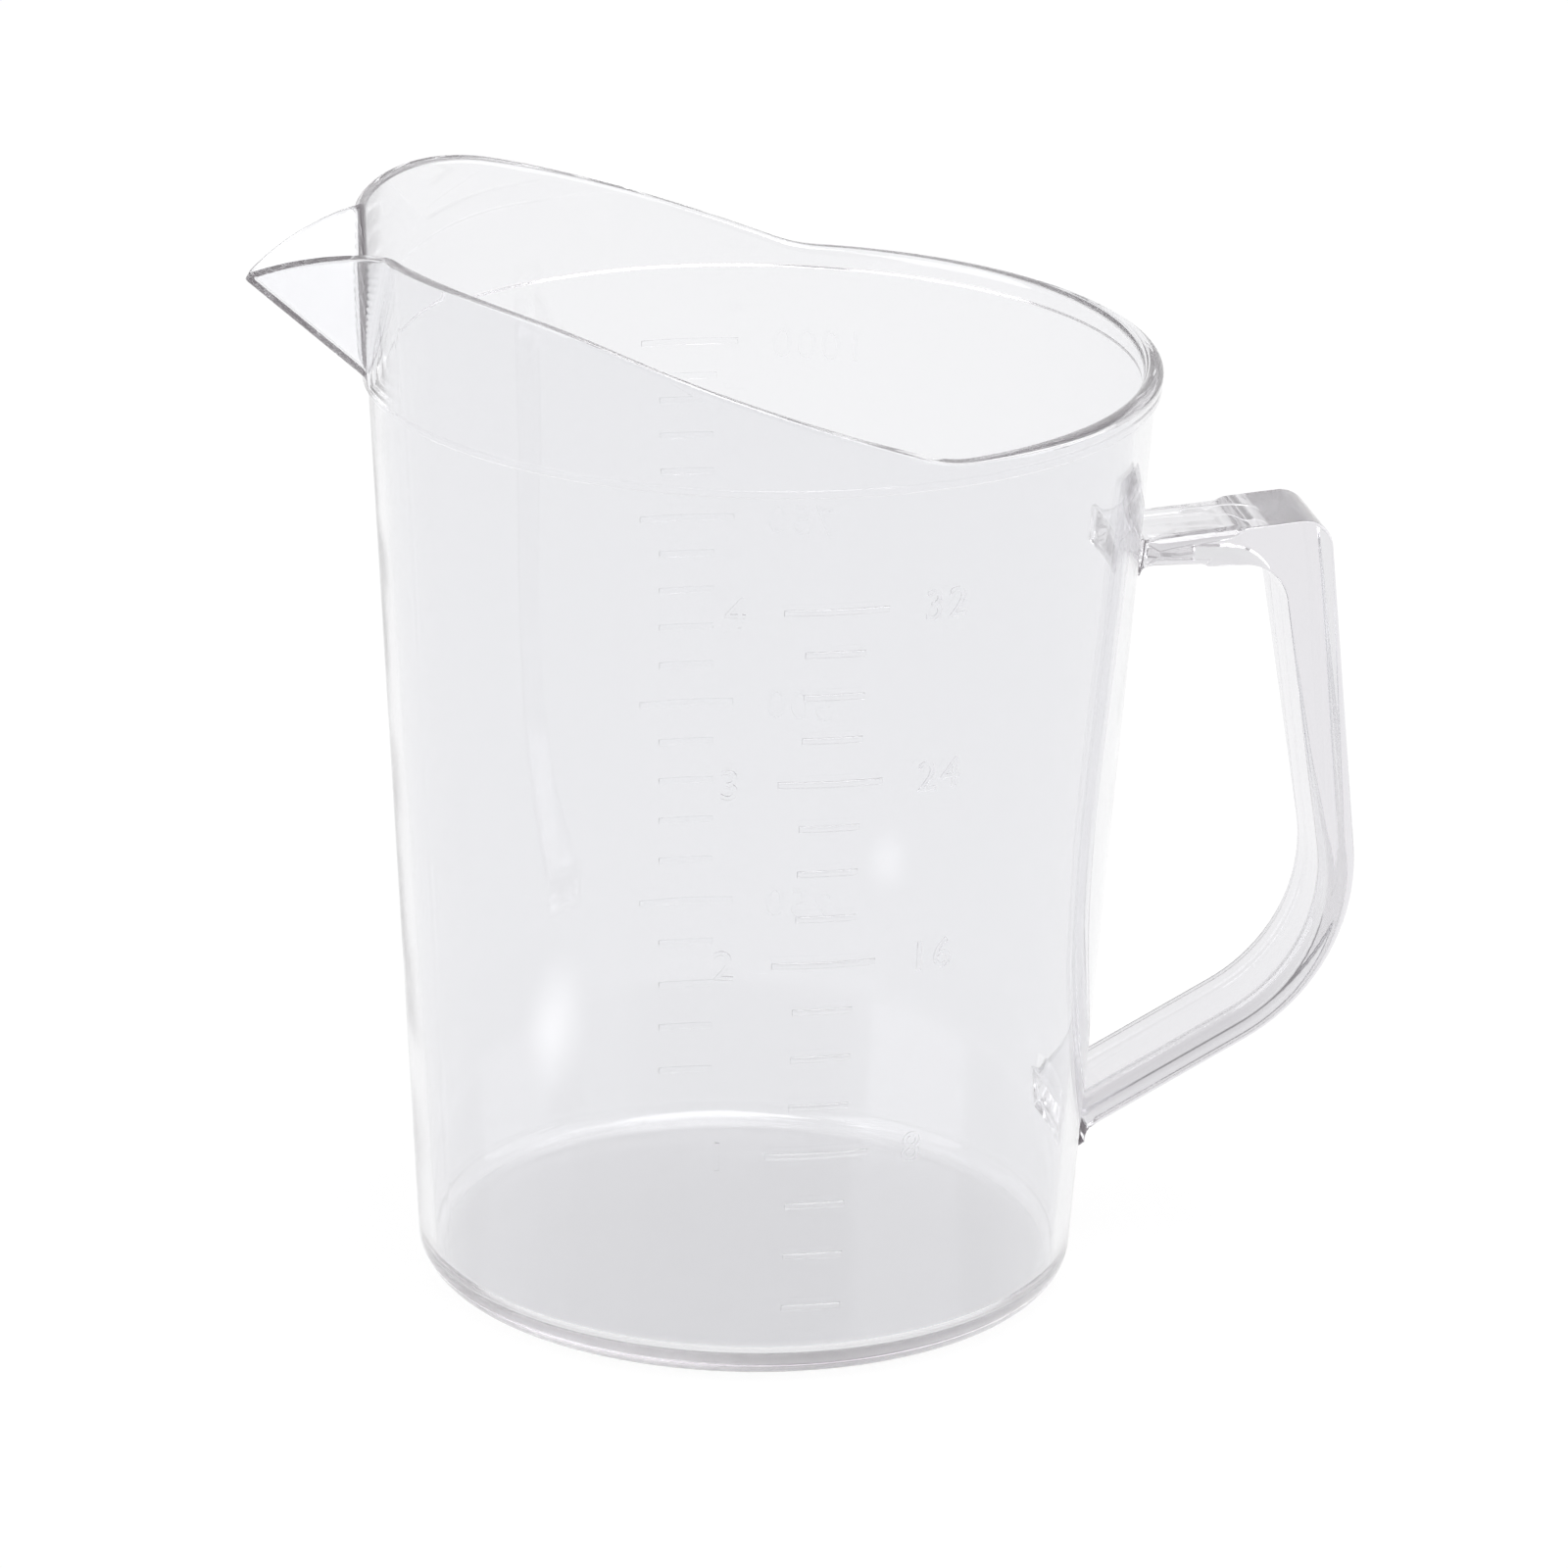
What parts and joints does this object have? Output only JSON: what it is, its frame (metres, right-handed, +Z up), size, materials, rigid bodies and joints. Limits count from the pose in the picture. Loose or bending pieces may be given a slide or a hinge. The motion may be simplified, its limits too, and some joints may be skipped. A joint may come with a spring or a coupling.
{
  "type": "measuring jug",
  "caption": "Clear tapered measuring jug with a raised hood, a V pouring spout, a strap handle and raised scale lines and numbers, for measuring and pouring liquids.",
  "frame": {"origin": "centre of the flat base, on the jug's axis", "axes": "+Z up along the jug's axis, +X towards the handle, -X towards the spout, -Y towards the cup and ounce scale"},
  "size_m": [0.1673, 0.118, 0.1628],
  "materials": {
    "clear_body": "clear, polished, with faint moulding flow and light handling wear",
    "clear_handle": "clear, polished, solid section",
    "raised_marks": "clear, lightly frosted on the raised faces"
  },
  "bodies": {
    "root": {"jug_body": "clear_body", "handle": "clear_handle", "cup_marks": "raised_marks", "cup_numbers": "raised_marks", "ounce_numbers": "raised_marks", "millilitre_marks": "raised_marks", "millilitre_numbers": "raised_marks"}
  },
  "joints": []
}
